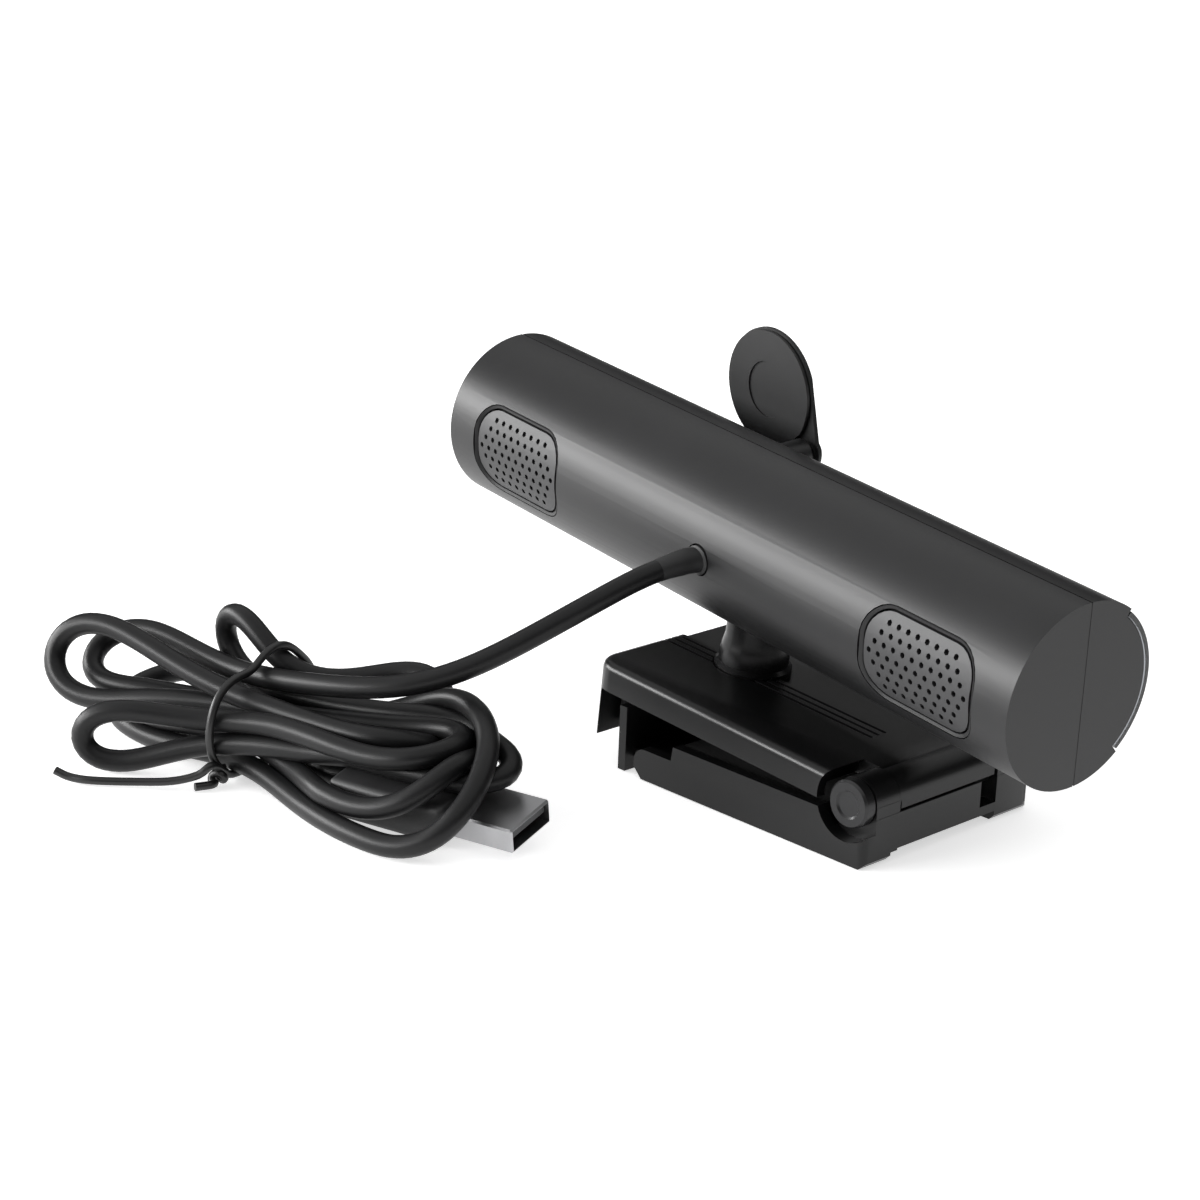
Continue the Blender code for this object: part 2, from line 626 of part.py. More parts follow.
def make_clip_pads():
    rubber = (0.012, 0.012, 0.012)
    inner_face = PLATE_LEFT - LIP_THICK
    lip_pad = box("lip_pad", (inner_face - 1.3, -17.0, -38.4), (inner_face - GAP, 17.0, -31.3), 0.3, 1)
    finish_part(lip_pad, PLATE, make_material("lip_pad_rubber", rubber, 0.8))
    plate_pad = box("plate_pad", (-34.0, -16.0, -28.9), (-8.0, 16.0, PLATE_UNDER - GAP), 0.3, 1)
    finish_part(plate_pad, PLATE, make_material("plate_pad_rubber", rubber, 0.8))


def leg_side_outline():
    """The leg's side rail as (x, z) from the hinge: rounded free end, a step, and the foot below the hinge."""
    base = -HINGE_Z
    end = LEG_END - HINGE_X
    tip = 8.9 - HINGE_X
    step = -0.8 - HINGE_X
    low_top = 5.8 - HINGE_Z
    top = RAIL_TOP - HINGE_Z
    nose = arc(2.6, 0.0, math.pi / 2, 5, (tip - 2.6, low_top - 2.6))
    heel = [(tip, base + 2.0), (tip - 2.0, base), (end + 1.0, base), (end, base + 1.0)]
    return [(end, top), (step, top), (step + 0.4, low_top)] + nose + heel


def leg_plan(end):
    """The leg seen from above, as (x, y) from the hinge, with rounded corners at its foot."""
    half = PLATE_HALF_Y
    far_corner = 3.0
    near_corner = 1.4
    far = arc(far_corner, math.pi, 1.5 * math.pi, 5, (end + far_corner, -half + far_corner))
    near = arc(near_corner, 1.5 * math.pi, 2 * math.pi, 4, (end + near_corner, half - near_corner))
    return [(70.0, half), (70.0, -half)] + far + near


def make_leg():
    end = LEG_END - HINGE_X
    base = -HINGE_Z
    half = PLATE_HALF_Y
    inside = half - RAIL_THICK
    leg = prism("clip_leg", leg_side_outline(), -half - 1.0, half + 1.0, "XZ")
    boolean(leg, place(prism("leg_plan", leg_plan(end), base - 2.0, 20.0, "XY"), LEG), "INTERSECT")
    cuts = (
        ("leg_tray", (end + 2.2, -inside, WEB_HIGH - HINGE_Z), (60.0, inside, 20.0)),
        ("leg_underside", (end + 9.0, -inside, -30.0), (60.0, inside, WEB_LOW - HINGE_Z)),
        ("leg_heel", (end - 1.0, BARREL_FAR_Y - 0.2, -30.0), (end + 12.0, 15.8, WEB_LOW - 0.1 - HINGE_Z)),
        ("leg_wall_top", (end - 1.0, BARREL_FAR_Y - 0.5, WALL_TOP - HINGE_Z),
         (end + 8.0, BARREL_NEAR_Y + 0.5, 20.0)),
        ("leg_notch", (end - 1.0, BARREL_FAR_Y - 0.3, WEB_HIGH - 0.4 - HINGE_Z),
         (end + 6.0, NOTCH_NEAR_Y, 20.0)),
    )
    for name, low, high in cuts:
        boolean(leg, place(box(name, low, high), LEG))
    room = cylinder("barrel_room", BARREL_R + GAP, BARREL_FAR_Y - GAP, BARREL_NEAR_Y + GAP, "Y", sides=36)
    boolean(leg, place(room, LEG))
    for name, low, high in (("near", BARREL_NEAR_Y + GAP, 21.0), ("far", -21.0, BARREL_FAR_Y - GAP)):
        support = box(f"knuckle_support_{name}", (end + 0.05, low, base + 1.5), (3.8, high, 0.0))
        boolean(leg, place(support, LEG), "UNION")
        knuckle = cylinder(f"knuckle_{name}", KNUCKLE_R, low + 0.02, high, "Y", sides=36)
        boolean(leg, place(knuckle, LEG), "UNION")
    for name, low, high in (("near", PIN_RECESS_Y, 30.0), ("far", -30.0, -PIN_RECESS_Y)):
        relief = cylinder(f"pin_recess_{name}", RELIEF_R, low, high, "Y", sides=40)
        boolean(leg, place(relief, LEG))
    tongue = box("leg_tongue", (8.0 - HINGE_X, -inside + 0.6, WEB_LOW + 0.2 - HINGE_Z),
                 (12.5 - HINGE_X, inside - 0.6, WEB_HIGH - 0.2 - HINGE_Z))
    boolean(leg, place(tongue, LEG), "UNION")
    flange = box("leg_flange", (11.6 - HINGE_X, -half + 0.5, base), (13.4 - HINGE_X, half - 0.5, 12.3 - HINGE_Z))
    boolean(leg, place(flange, LEG), "UNION")
    boolean(leg, place(cylinder("leg_bore", BORE_R, -30.0, 30.0, "Y", sides=24), LEG))
    finish_part(leg, LEG, make_material("leg_black", BLACK, 0.42))

    pad = box("leg_pad", (-32.0 - HINGE_X, -17.0, WEB_HIGH + GAP - HINGE_Z), (3.0 - HINGE_X, 17.0, 6.3 - HINGE_Z),
              0.3, 1)
    finish_part(pad, LEG, make_material("leg_pad_rubber", (0.012, 0.012, 0.012), 0.8))


def make_hinge_pin():
    """The pin with a broad head in the near recess and a clip on its far end."""
    profile = ((0.0, -22.0), (2.0, -22.0), (2.0, 20.4), (4.3, 20.4), (4.3, 22.2), (3.9, 22.6), (2.6, 22.6),
               (2.2, 22.3), (0.0, 22.3))
    pin = turned("hinge_pin", profile, 36, "backward")
    finish_part(pin, LEG, make_material("pin_black_steel", (0.05, 0.05, 0.052), 0.3, 0.6))
    clip_profile = ((2.3, -20.4), (4.2, -20.4), (4.2, -21.4), (2.3, -21.4), (2.3, -20.4))
    clip = turned("pin_clip", clip_profile, 28, "backward")
    finish_part(clip, LEG, make_material("pin_clip_steel", (0.3, 0.3, 0.31), 0.35, 1.0))


# Cable

def smooth_route(points, count):
    """Read evenly spaced points from a smooth curve through the route's own points."""
    knots = [Vector(p) for p in points]
    knots = [2 * knots[0] - knots[1]] + knots + [2 * knots[-1] - knots[-2]]
    dense = []
    for a, b, c, d in zip(knots, knots[1:], knots[2:], knots[3:]):
        for step in range(12):
            t = step / 12
            dense.append(0.5 * ((2 * b) + (c - a) * t + (2 * a - 5 * b + 4 * c - d) * t * t
                                + (3 * b - a - 3 * c + d) * t ** 3))
    dense.append(knots[-2])
    lengths = [0.0]
    for first, second in zip(dense, dense[1:]):
        lengths.append(lengths[-1] + (second - first).length)
    picked = []
    for index in range(count):
        target = lengths[-1] * index / (count - 1)
        at = max(i for i, length in enumerate(lengths) if length <= target + 1e-9)
        if at == len(dense) - 1:
            picked.append(dense[-1])
            continue
        part = (target - lengths[at]) / (lengths[at + 1] - lengths[at])
        picked.append(dense[at].lerp(dense[at + 1], part))
    return picked


def tube(name, points, radius):
    curve = bpy.data.curves.new(name, "CURVE")
    curve.dimensions = "3D"
    curve.bevel_depth = radius * MM
    curve.bevel_resolution = 2
    curve.use_fill_caps = True
    spline = curve.splines.new("POLY")
    spline.points.add(len(points) - 1)
    for point, place_at in zip(spline.points, points):
        point.co = (*[v * MM for v in place_at], 1.0)
    item = bpy.data.objects.new(name, curve)
    bpy.context.scene.collection.objects.link(item)
    return item


def hank_half_width(along):
    """Half the hank's width at a distance along it from the tie."""
    half = HANK_WAIST_HALF if abs(along) < HANK_WAIST_REACH else 0.0
    for centre, half_length, half_width in HANK_LOBES:
        share = (along - centre) / half_length
        if abs(share) < 1.0:
            half = max(half, half_width * math.sqrt(1.0 - share * share))
    return half


def hank_outline():
    """The bow-tie outline of the hank, with closer points at its round ends."""
    first = HANK_LOBES[0][0] - HANK_LOBES[0][1]
    last = HANK_LOBES[1][0] + HANK_LOBES[1][1]
    steps = 40
    stations = [first + (last - first) * (1 - math.cos(math.pi * i / steps)) / 2 for i in range(1, steps)]
    near = [(along, hank_half_width(along)) for along in stations]
    far = [(along, -half) for along, half in reversed(near)]
    return [(first, 0.0)] + near + [(last, 0.0)] + far


def plug_matrix():
    """The plug's frame: x out of its mouth, z up, origin at the centre of the mouth."""
    spot = Matrix.Translation((PLUG_MOUTH[0] * MM, PLUG_MOUTH[1] * MM, PLUG_LIFT * MM))
    return TABLE.matrix_world @ spot @ Matrix.Rotation(PLUG_TURN, 4, "Z") @ Matrix.Rotation(PLUG_ROLL, 4, "X")


def make_plug():
    half_w = USB_WIDTH / 2
    half_h = USB_HEIGHT / 2
    shell = box("usb_shell", (-USB_LENGTH, -half_w, -half_h), (0.0, half_w, half_h), 0.35, 1)
    inside = box("usb_mouth", (-USB_LENGTH + 3.0, -half_w + 0.4, -half_h + 0.4), (5.0, half_w - 0.4, half_h - 0.4))
    boolean(shell, place(inside, PLUG))
    finish_part(shell, PLUG, make_material("usb_steel", (0.62, 0.62, 0.64), 0.28, 1.0))
    tongue = box("usb_tongue", (-USB_LENGTH + 3.3, -half_w + 0.7, -0.1), (-0.8, half_w - 0.7, half_h - 0.7))
    finish_part(tongue, PLUG, make_material("tongue_black", (0.04, 0.04, 0.045), 0.5))
    back = -USB_LENGTH - GAP
    mould = box("usb_overmould", (back - OVERMOULD_LENGTH, -OVERMOULD_WIDTH / 2, -OVERMOULD_HEIGHT / 2),
                (back, OVERMOULD_WIDTH / 2, OVERMOULD_HEIGHT / 2), 1.4, 3)
    finish_part(mould, PLUG, make_material("overmould_black", (0.02, 0.02, 0.021), 0.55))


def make_hank():
    hank = prism("cable_hank", hank_outline(), GAP, HANK_HEIGHT, "XY")
    add_bevel(hank, 2.5, 2, 60)
    clearance = box("clip_clearance", (-100.0, -100.0, -5.0), (150.0, CLIP_REACH, HANK_HEIGHT + 5.0))
    boolean(hank, place(clearance, TABLE))
    length = USB_LENGTH + GAP + OVERMOULD_LENGTH
    room = box("plug_room", (-length - GAP - 0.2, -OVERMOULD_WIDTH / 2 - GAP, -20.0),
               (10.0, OVERMOULD_WIDTH / 2 + GAP, OVERMOULD_HEIGHT / 2 + GAP))
    boolean(hank, place(room, PLUG))
    groove = box("tie_groove", (-1.4, -40.0, -5.0), (1.4, 40.0, 2 * TIE_R + 3 * GAP))
    boolean(hank, place(groove, HANK))
    finish_part(hank, HANK, make_material("cable_hank_black", BLACK, 0.45))


def make_lead():
    lead = tube("cable_lead", smooth_route(LEAD_ROUTE, 14), CABLE_R)
    finish_part(lead, TABLE, make_material("cable_black", BLACK, 0.45))


def make_tie():
    """A flat-laid tie round the hank's waist, with its tail along the table."""
    half = HANK_WAIST_HALF + GAP + TIE_R + 0.8
    top = HANK_HEIGHT + GAP + TIE_R + 0.4
    bottom = TIE_R
    height = (top - bottom) / 2
    ring = [(0.0, y, z + bottom + height) for y, z in rounded_rectangle(half, height, 3.7, 5)]
    ring = ring[4:] + ring[:3]
    tail = [(-0.5, half + 2.4, 9.5), (-0.2, half + 5.6, 5.0), (4.0, half + 11.6, 2.4), (16.5, half + 22.1, 1.2)]
    tie = tube("twist_tie", [p for p in ring] + tail, TIE_R)
    finish_part(tie, HANK, make_material("tie_black", (0.02, 0.02, 0.02), 0.5))


def build_camera():
    make_rear_shell()
    make_front_shell()
    make_front_window()
    for name, side in (("left", 1), ("right", -1)):
        make_grille(f"grille_{name}", side)
        make_speaker(f"speaker_{name}", side)
    make_boards()
    make_lens()
    make_small_front_parts()
    make_gland()


def build_clip():
    make_neck()
    make_clip_plate()
    make_clip_pads()
    make_leg()
    make_hinge_pin()


def build_cable():
    make_plug()
    make_hank()
    make_lead()
    make_tie()


clear_scene()
PARTS = new_collection("clip_webcam")
CUTTERS = new_collection("cutters")
CAMERA = make_empty("camera_frame", camera_matrix())
COVER = make_empty("cover_axis", cover_matrix())
PLATE = make_empty("plate_frame", plate_matrix())
LEG = make_empty("leg_axis", leg_matrix())
TABLE = make_empty("table_frame", table_matrix())
HANK = make_empty("hank_frame", table_matrix() @ Matrix.Translation((HANK_CENTRE[0] * MM, HANK_CENTRE[1] * MM, 0.0))
                  @ Matrix.Rotation(HANK_TURN, 4, "Z"))
bpy.context.view_layer.update()
PLUG = make_empty("plug_frame", plug_matrix())
build_camera()
make_cover()
build_clip()
build_cable()
bpy.context.view_layer.update()
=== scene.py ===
"""Looks for the cylindrical webcam on a folding monitor clip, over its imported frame.

Sizes are in millimetres and turned into metres by MM, except those of the lights, the floor and the
materials' grain, which are in metres.
The row's frame has X along the clip, the lens at -Y, and the table at z = 0.
"""
import math

import bmesh
import bpy
import numpy as np
from mathutils import Matrix, Vector


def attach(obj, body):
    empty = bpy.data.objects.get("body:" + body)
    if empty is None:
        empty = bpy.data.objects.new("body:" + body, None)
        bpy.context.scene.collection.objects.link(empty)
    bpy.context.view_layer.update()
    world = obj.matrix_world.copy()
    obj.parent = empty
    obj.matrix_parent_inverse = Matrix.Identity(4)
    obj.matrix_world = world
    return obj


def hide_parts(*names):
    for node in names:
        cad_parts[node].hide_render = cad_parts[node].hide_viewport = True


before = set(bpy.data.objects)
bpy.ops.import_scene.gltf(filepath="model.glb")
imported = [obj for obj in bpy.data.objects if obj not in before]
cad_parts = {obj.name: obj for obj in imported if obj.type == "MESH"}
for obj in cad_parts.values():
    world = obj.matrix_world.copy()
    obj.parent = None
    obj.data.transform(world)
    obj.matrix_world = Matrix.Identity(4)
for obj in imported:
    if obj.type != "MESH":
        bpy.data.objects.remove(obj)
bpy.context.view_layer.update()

MM = 0.001

# Camera
VIEW_AZIMUTH = math.radians(225.48)
VIEW_ELEVATION = math.radians(18.24)
VIEW_ROLL = math.radians(2.265)
CAMERA_PLACE = (-322.6, 358.9, 188.9)
LENS = 83.8
SENSOR = 36.0
NEAREST = 0.01  # metres
FARTHEST = 20.0  # metres

# Studio, in metres and watts
# Each area light's name, its place, where it points, its width and height, and its power
LIGHTS = (
    ("strip", (0.76, 0.82, 0.31), (0.0, 0.0, 0.045), (1.5, 0.34), 26.0),
    ("top", (0.0, 0.0, 1.4), (0.0, 0.0, 0.0), (3.6, 3.6), 34.0),
)
SKY_STRENGTH = 0.06
FLOOR_HALF = 3.0
FLOOR_DROP = 0.0002
FLOOR_WHITE = 0.9
FLOOR_ROUGHNESS = 0.9
FLOOR_GLOW = 0.6

# Shading of every mesh piece
SMOOTH_ANGLE = math.radians(32.0)
MERGE_DISTANCE = 0.000002  # metres

# The barrel and its own frame, as the CAD places it
BODY_R = 16.5
BODY_HALF = 77.0
BODY_CENTRE = (-0.03, -0.2, 42.9)
TILT = math.radians(-4.56)
SWIVEL = math.radians(-6.2)
PITCH = math.radians(-5.0)

# Speaker grilles' openings
GRILLE_X = 55.7
GRILLE_HALF_X = 13.4
GRILLE_HALF_Z = 8.7
GRILLE_CORNER = 6.2
# Across the sunk frame of a grille: how far in from the opening's edge, and its radius from the barrel's axis
GRILLE_FRAME = ((0.0, 15.2), (0.0, 16.4), (0.1, 16.48), (0.62, 16.1), (0.7, 15.95), (0.7, 15.2))

# Weld where the shells meet at each end
SEAM_Y = -0.7
WELD_DEPTH = 1.5
WELD_SUNK = 0.05  # below the end's face
WELD_HALF_WIDTH = 0.16
WELD_HALF_HEIGHT = 16.3

# Tape under each end of the front window
WINDOW_BACK_R = 15.17
WINDOW_SHELF_R = 14.93
TAPE_DEPTH = 4.0
TAPE_SUNK = 0.25  # below the end's face
TAPE_HALF_ANGLE = math.radians(50.8)
TAPE_STEPS = 24

# Leg hinge's axis as (x, z), the ends of the barrel on it, and its fairing's outline round the axis
HINGE = (-41.73, 10.6)
HINGE_SPAN = (-12.2, 13.5)
FAIRING_OUTLINE = ((-4.12, 0.3), (-4.2, -0.6), (-4.2, -1.7), (-3.3, -1.7), (-3.3, 0.3))
FAIRING_SHORT = 0.3  # at each end of the barrel

# Cable
CABLE_D = 4.0
SITE = (-0.03, -0.2, 0.0)  # the lead's and the hank's routes are measured from here
# Loose lead, from the barrel to the top of the hank, as the CAD has it
LEAD_ROUTE = (
    (2.7, 18.1, 41.6), (3.6, 23.0, 40.9), (5.0, 29.0, 39.3), (6.9, 35.4, 36.7), (9.4, 41.6, 33.6),
    (12.8, 47.6, 30.0), (16.8, 53.6, 26.4), (21.5, 59.4, 23.2), (27.4, 64.4, 21.0), (34.6, 68.0, 20.0),
)
# The hank's own frame: along, across towards the viewer, and up, from a place between its two lobes
HANK_PLACE = (58.8, 67.8)
HANK_TURN = math.radians(11.0)
TIE_ALONG = -3.5
# Where each run passes through the tie, as (across, up)
RUNS = {
    "lead": (5.0, 16.8), "top_back": (-1.0, 16.0), "top_front": (10.6, 14.6), "top_mid": (0.8, 13.0),
    "back": (-6.0, 12.5), "front_high": (15.2, 11.6), "mid_high": (7.4, 11.6), "mid": (3.0, 9.6),
    "front": (15.5, 7.6), "mid_front": (10.8, 8.2), "back_low": (-3.5, 8.0), "low_front": (13.0, 3.4),
    "low_mid": (7.5, 4.0), "plug": (2.8, 5.0),
}
# Each fold: the run it comes from and the run it goes to, its tip, half its width, and the lean in degrees of
# its first limb
FOLDS = (
    ("lead", "mid", (38.0, 6.0, 13.0), 5.5, 140),
    ("mid", "top_front", (-40.5, 3.0, 10.5), 5.5, -160),
    ("top_front", "mid_high", (40.5, 14.0, 14.5), 6.2, 115),
    ("mid_high", "front_high", (-50.0, 4.5, 12.0), 6.0, 180),
    ("front_high", "front", (21.0, 27.5, 5.6), 3.4, 90),
    ("front", "top_mid", (-57.0, 0.5, 10.0), 8.0, -28),
    ("top_mid", "top_back", (12.5, -3.0, 21.3), 4.8, -95),
    ("top_back", "back", (-34.5, -16.0, 11.0), 4.6, 115),
    ("back", "low_front", (36.0, -2.0, 3.5), 8.0, 165),
    ("low_front", "back_low", (-57.0, 10.5, 9.0), 14.5, -30),
    ("back_low", "mid_front", (28.0, 4.0, 3.2), 6.5, 190),
    ("mid_front", "low_mid", (-52.0, 9.0, 8.5), 10.5, -20),
    ("low_mid", "plug", (20.5, 4.0, 2.2), 5.0, 0),
)
FOLD_POINTS = 14
FOLD_TAPER = 0.9  # below 1, a fold leaves the tie sooner
FOLD_FULLNESS = 1.54  # makes a fold's widest place its half width to each side
CURVE_POINTS = 16  # between two knots of a smooth curve
CABLE_STEP = 1.25  # spacing of the drawn cable's points

# How the cable settles, step by step
STEP = 2.5  # spacing of the settling cable's points
SETTLE_STEPS = 400
STRAND_GAP = 1.02  # between two strands' centrelines, in cable diameters
NEIGHBOUR_LENGTH = 10.0  # two points closer than this along the cable don't push each other
LEAD_POINTS = 14  # held in place at the barrel's end
PLUG_POINTS = 3  # held in place at the plug's end
EASING_PASSES = 3
APART_PUSH = 0.45
BEND_PULL = 0.5
LENGTH_PULL = 0.25
FIRM_PULL = 0.02  # towards the route, at first
LOOSE_PULL = 0.006  # towards the route, at the end
FIRM_SHARE = 0.7
PLUG_PUSH = 0.4
TABLE_PUSH = 0.6
TABLE_GAP = 0.02
SWIVEL_PUSH = 0.5
SWIVEL_AXIS_X = 3.0  # where the tilted swivel axis meets the clip's height
SWIVEL_REACH = 57.0  # the cable's centreline stays outside the clip's sweep
SWIVEL_TOP = 22.0  # and the clip's sweep stays under this height

# Plug, in the CAD's frame for it: x out of the mouth
PLUG_NODES = ("usb_shell", "usb_tongue", "usb_overmould")
PLUG_MOUTH = (-5.9, 61.8, 5.2)
PLUG_TURN = math.radians(195.0)
PLUG_ROLL = math.radians(9.0)
PLUG_LENGTH = 36.8
PLUG_HALF_WIDTH = 7.7
PLUG_HALF_HEIGHT = 3.8
PLUG_APPROACH = (-13.0, 5.0, 5.0)  # the cable's way to the plug, in the hank's frame
PLUG_ENTRY = (-5.0, -2.5, 1.0)  # and its points along the plug's axis, from the overmould's end

# Sleeve at the barrel: its thickness along the cable, in cable diameters, and how far it starts inside
BOOT_SWELL = (1.16, 1.18, 1.17, 1.14, 1.09, 1.05, 1.02)
BOOT_SUNK = 0.4

# Tie round the hank
TIE_R = 0.75
TIE_HALF_WIDTH = 2.0  # along the hank, of the stretch of cable that shapes its ring
TIE_POINTS = 48
TIE_START = math.radians(40)  # where the ring's ends meet, below the front
TIE_EASING_PASSES = 3
TIE_STEP = 0.8
# Its tail on the table, in the hank's frame
TIE_TAIL = (
    (-4.5, 19.5, 4.6), (-3.0, 21.5, 3.0), (1.0, 24.0, 1.6), (7.0, 27.5, 1.0), (13.0, 31.5, 0.9),
    (17.0, 33.0, 1.0), (19.5, 34.0, 1.9),
)

# The twist that closes the tie: a short helix, then a stub down to the table
KNOT_TURNS = 1.5
KNOT_POINTS = 30
KNOT_STEP = 0.5
KNOT_START = (-0.4, 0.4)  # along and across, from the ring's foot
KNOT_HALF_WIDTH = 1.1
KNOT_HALF_HEIGHT = 0.8
KNOT_LENGTH = 2.6
KNOT_DROP = 0.8
STUB_BEND = (-0.8, 4.4, -1.8)  # along, across and up, from the ring's foot
STUB_END = (0.6, 7.0)  # along and across, from the ring's foot
STUB_HEIGHT = 0.95


# Camera, floor and light

def make_camera():
    back = Vector((math.sin(VIEW_AZIMUTH) * math.cos(VIEW_ELEVATION),
                   -math.cos(VIEW_AZIMUTH) * math.cos(VIEW_ELEVATION), math.sin(VIEW_ELEVATION)))
    right = (-back).cross(Vector((0, 0, 1))).normalized()
    up = right.cross(-back)
    cosine, sine = math.cos(VIEW_ROLL), math.sin(VIEW_ROLL)
    turned_right = cosine * right + sine * up
    turned_up = -sine * right + cosine * up
    data = bpy.data.cameras.new("camera")
    data.lens = LENS
    data.sensor_width = SENSOR
    data.clip_start = NEAREST
    data.clip_end = FARTHEST
    camera = bpy.data.objects.new("camera", data)
    bpy.context.scene.collection.objects.link(camera)
    turn = Matrix((turned_right, turned_up, back)).transposed().to_4x4()
    camera.matrix_world = Matrix.Translation(Vector(CAMERA_PLACE) * MM) @ turn
    bpy.context.scene.camera = camera


def make_area_light(name, place, aim, size, power):
    data = bpy.data.lights.new(name, "AREA")
    data.shape = "RECTANGLE"
    data.size, data.size_y = size
    data.energy = power
    light = bpy.data.objects.new(name, data)
    light.location = place
    light.rotation_euler = (Vector(aim) - Vector(place)).to_track_quat("-Z", "Y").to_euler()
    bpy.context.scene.collection.objects.link(light)


def make_studio():
    scene = bpy.context.scene
    scene.view_settings.view_transform = "Standard"
    world = bpy.data.worlds.new("studio")
    world.use_nodes = True
    sky = world.node_tree.nodes["Background"]
    sky.inputs["Color"].default_value = (1.0, 1.0, 1.0, 1.0)
    sky.inputs["Strength"].default_value = SKY_STRENGTH
    scene.world = world
    for light in LIGHTS:
        make_area_light(*light)


def make_floor():
    mesh = bpy.data.meshes.new("floor")
    work = bmesh.new()
    bmesh.ops.create_grid(work, x_segments=1, y_segments=1, size=FLOOR_HALF)
    work.to_mesh(mesh)
    work.free()
    floor = bpy.data.objects.new("floor", mesh)
    floor.location.z = -FLOOR_DROP
    bpy.context.scene.collection.objects.link(floor)
    material = bpy.data.materials.new("floor_white")
    material.use_nodes = True
    shader = material.node_tree.nodes["Principled BSDF"]
    shader.inputs["Base Color"].default_value = (FLOOR_WHITE, FLOOR_WHITE, FLOOR_WHITE, 1.0)
    shader.inputs["Roughness"].default_value = FLOOR_ROUGHNESS
    shader.inputs["Emission Color"].default_value = (1.0, 1.0, 1.0, 1.0)
    shader.inputs["Emission Strength"].default_value = FLOOR_GLOW
    mesh.materials.append(material)


# Materials

class Nodes:
    """A material's node tree, with short calls that add and join its nodes."""

    def __init__(self, name):
        self.material = bpy.data.materials.new(name)
        self.material.use_nodes = True
        self.tree = self.material.node_tree
        self.shader = self.tree.nodes["Principled BSDF"]
        self.place = self.add("ShaderNodeTexCoord").outputs["Object"]

    def add(self, kind, **values):
        node = self.tree.nodes.new(kind)
        for key, value in values.items():
            setattr(node, key, value)
        return node

    def link(self, source, target):
        self.tree.links.new(source, target)

    def set(self, **values):
        """Set the shader's own sockets, with _ for each space in a socket's name."""
        for key, value in values.items():
            self.shader.inputs[key.replace("_", " ")].default_value = value

    def noise(self, scale, detail=3.0, roughness=0.5, stretch=None):
        place = self.place
        if stretch:
            mapping = self.add("ShaderNodeMapping")
            mapping.inputs["Scale"].default_value = stretch
            self.link(place, mapping.inputs["Vector"])
            place = mapping.outputs["Vector"]
        noise = self.add("ShaderNodeTexNoise")
        noise.inputs["Scale"].default_value = scale
        noise.inputs["Detail"].default_value = detail
        noise.inputs["Roughness"].default_value = roughness
        self.link(place, noise.inputs["Vector"])
        return noise.outputs["Fac"]

    def ramp(self, value, stops):
        ramp = self.add("ShaderNodeValToRGB")
        elements = ramp.color_ramp.elements
        while len(elements) < len(stops):
            elements.new(0.5)
        for element, (at, colour) in zip(elements, stops):
            element.position = at
            element.color = (*colour, 1.0)
        self.link(value, ramp.inputs["Fac"])
        return ramp.outputs["Color"]

    def span(self, value, low, high):
        """Map a value from 0..1 to low..high."""
        spread = self.add("ShaderNodeMapRange")
        spread.inputs["To Min"].default_value = low
        spread.inputs["To Max"].default_value = high
        self.link(value, spread.inputs["Value"])
        return spread.outputs["Result"]

    def bump(self, height, strength, distance, under=None):
        bump = self.add("ShaderNodeBump")
        bump.inputs["Strength"].default_value = strength
        bump.inputs["Distance"].default_value = distance
        self.link(height, bump.inputs["Height"])
        if under is not None:
            self.link(under, bump.inputs["Normal"])
        return bump.outputs["Normal"]


def moulded(name, colour, roughness, grain=9000.0, grain_depth=0.00002, vary=0.25):
    """Injection-moulded plastic: fine spark-eroded grain, slow colour and gloss variation."""
    nodes = Nodes(name)
    slow = nodes.noise(35.0, 4.0)
    fine = nodes.noise(grain, 2.0, 0.6)
    darker = tuple(c * (1.0 - vary) for c in colour)
    lighter = tuple(c * (1.0 + vary) for c in colour)
    nodes.link(nodes.ramp(slow, ((0.3, darker), (0.7, lighter))), nodes.shader.inputs["Base Color"])
    nodes.link(nodes.span(slow, roughness - 0.03, roughness + 0.03), nodes.shader.inputs["Roughness"])
    nodes.link(nodes.bump(fine, 0.35, grain_depth), nodes.shader.inputs["Normal"])
    return nodes


def rubber(name, colour, roughness, grain=4000.0):
    """Soft rubber or vinyl: coarse grain, with paler dusty patches."""
    nodes = Nodes(name)
    slow = nodes.noise(60.0, 5.0, 0.6)
    fine = nodes.noise(grain, 3.0, 0.7)
    dusty = tuple(c * 1.5 + 0.001 for c in colour)
    nodes.link(nodes.ramp(slow, ((0.35, colour), (0.8, dusty))), nodes.shader.inputs["Base Color"])
    nodes.link(nodes.span(slow, roughness - 0.06, roughness + 0.06), nodes.shader.inputs["Roughness"])
    nodes.link(nodes.bump(fine, 0.5, 0.00004), nodes.shader.inputs["Normal"])
    return nodes


def steel(name, colour, roughness, scale=2500.0, stretch=(1.0, 1.0, 0.05)):
    """Plated or turned steel with fine drawn lines."""
    nodes = Nodes(name)
    lines = nodes.noise(scale, 3.0, 0.6, stretch)
    slow = nodes.noise(150.0, 4.0)
    darker = tuple(c * 0.82 for c in colour)
    nodes.link(nodes.ramp(slow, ((0.3, darker), (0.75, colour))), nodes.shader.inputs["Base Color"])
    nodes.link(nodes.span(lines, roughness - 0.04, roughness + 0.05), nodes.shader.inputs["Roughness"])
    nodes.link(nodes.bump(lines, 0.08, 0.000004), nodes.shader.inputs["Normal"])
    nodes.set(Metallic=1.0)
    return nodes


